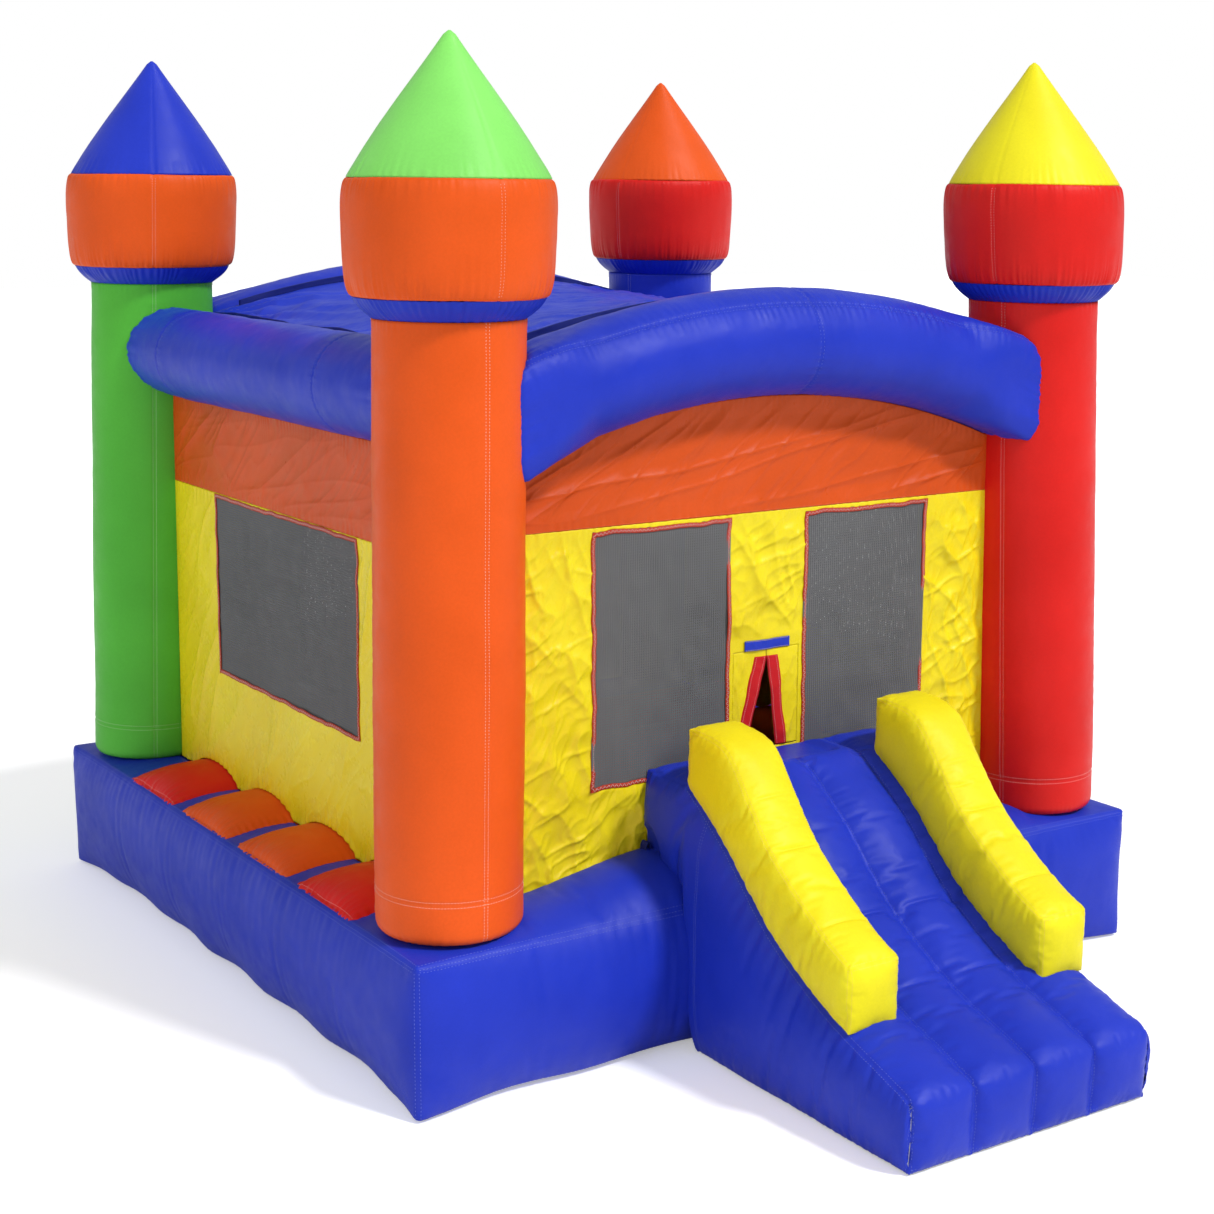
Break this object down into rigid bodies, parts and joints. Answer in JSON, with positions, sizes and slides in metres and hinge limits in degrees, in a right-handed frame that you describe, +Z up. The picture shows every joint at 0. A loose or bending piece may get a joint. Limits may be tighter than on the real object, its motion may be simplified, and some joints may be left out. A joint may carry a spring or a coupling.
{
  "type": "inflatable bounce house",
  "caption": "Square inflatable bounce house with four round corner towers, netted walls, a fabric roof, a padded front slide and its blower",
  "frame": {"origin": "centre of the square base's underside, on the ground", "axes": "+Z up, -Y out of the entrance and down the slide, +Y towards the back, +X to the right as seen from the front"},
  "size_m": [3.9783, 6.562, 4.266],
  "materials": {
    "black_plastic": "moulded black plastic",
    "black_tape": "black woven zip tape and straps",
    "blower_shell": "roto-moulded orange plastic",
    "blue_cloth": "thin coated nylon, blue, wrinkled",
    "blue_vinyl": "PVC-coated woven fabric, glossy blue",
    "fan_plastic": "moulded grey-black fan plastic",
    "green_vinyl": "PVC-coated woven fabric, glossy green",
    "lime_vinyl": "PVC-coated woven fabric, glossy light green",
    "motor_paint": "dark painted motor casting",
    "navy_webbing": "dark blue bound webbing",
    "net": "knotless dark grey safety netting",
    "orange_cloth": "thin coated nylon, orange, crinkled",
    "orange_vinyl": "PVC-coated woven fabric, glossy orange",
    "red_binding": "stitched red-orange binding tape",
    "red_switch": "glossy red switch plastic",
    "red_tape": "red reinforcing tape",
    "red_vinyl": "PVC-coated woven fabric, glossy red",
    "steel": "zinc-plated steel",
    "yellow_cloth": "thin coated nylon, yellow, crinkled",
    "yellow_vinyl": "PVC-coated woven fabric, glossy yellow",
    "zip_metal": "cast zip slider"
  },
  "bodies": {
    "castle": {"back_arch": "blue_vinyl", "back_left_tower_band": "orange_vinyl", "back_left_tower_cone": "blue_vinyl", "back_left_tower_shaft": "green_vinyl", "back_right_tower_band": "red_vinyl", "back_right_tower_cone": "orange_vinyl", "back_right_tower_shaft": "blue_vinyl", "back_wall_lower": "yellow_cloth", "back_wall_upper": "orange_cloth", "base_baffles": "blue_cloth", "base_chamber": "blue_vinyl", "blower_grille": "black_plastic", "blower_handle": "black_plastic", "blower_housing_left": "blower_shell", "blower_housing_right": "blower_shell", "blower_motor": "motor_paint", "blower_nozzle": "black_plastic", "blower_stand": "black_plastic", "deflation_zips": "black_tape", "entrance_patch": "blue_cloth", "front_arch": "blue_vinyl", "front_left_tower_band": "orange_vinyl", "front_left_tower_cone": "lime_vinyl", "front_left_tower_shaft": "orange_vinyl", "front_right_tower_band": "red_vinyl", "front_right_tower_cone": "yellow_vinyl", "front_right_tower_shaft": "red_vinyl", "front_sills": "blue_vinyl", "front_wall_lower": "yellow_cloth", "front_wall_upper": "orange_cloth", "grille_screws": "steel", "inflation_sleeve": "blue_cloth", "left_beam": "blue_vinyl", "left_wall_lower": "yellow_cloth", "left_wall_upper": "orange_cloth", "orange_floor_panels": "orange_vinyl", "red_floor_panels": "red_vinyl", "right_beam": "blue_vinyl", "right_wall_lower": "yellow_cloth", "right_wall_upper": "orange_cloth", "roof_hems": "navy_webbing", "roof_sheet": "blue_cloth", "sleeve_strap": "black_tape", "slide_chamber": "blue_vinyl", "slide_rail_left": "yellow_vinyl", "slide_rail_right": "yellow_vinyl", "switch_box": "black_plastic", "tie_down_loops": "navy_webbing", "tower_necks": "blue_vinyl", "window_bindings": "red_binding", "window_nets": "net", "zip_covers": "blue_cloth"},
    "entrance_flap_left": {"entrance_flap_left": "yellow_cloth", "entrance_edging_left": "red_tape"},
    "entrance_flap_right": {"entrance_flap_right": "yellow_cloth", "entrance_edging_right": "red_tape"},
    "zip_slider_left": {"zip_slider_left": "zip_metal"},
    "zip_slider_right": {"zip_slider_right": "zip_metal"},
    "blower_impeller": {"blower_impeller": "fan_plastic"},
    "power_rocker": {"power_rocker": "red_switch"}
  },
  "joints": [
    {"name": "flap_left_swing", "type": "hinge", "parent": "castle", "child": "entrance_flap_left", "pos_m": [-0.183, -1.61, 1.19], "axis": [0, 0, 1], "range_deg": [-80, 80]},
    {"name": "flap_right_swing", "type": "hinge", "parent": "castle", "child": "entrance_flap_right", "pos_m": [0.183, -1.61, 1.19], "axis": [0, 0, 1], "range_deg": [-80, 80]},
    {"name": "zip_left_slide", "type": "slide", "parent": "castle", "child": "zip_slider_left", "axis": [1, 0, 0], "range_m": [0, 0.54]},
    {"name": "zip_right_slide", "type": "slide", "parent": "castle", "child": "zip_slider_right", "axis": [1, 0, 0], "range_m": [0, 0.54]},
    {"name": "impeller_spin", "type": "hinge", "parent": "castle", "child": "blower_impeller", "pos_m": [1.25, 2.96, 0.268], "axis": [1, 0, 0], "continuous": true},
    {"name": "power_rock", "type": "hinge", "parent": "castle", "child": "power_rocker", "pos_m": [1.372, 2.96, 0.371], "axis": [1, 0, 0], "range_deg": [-8, 8]}
  ]
}
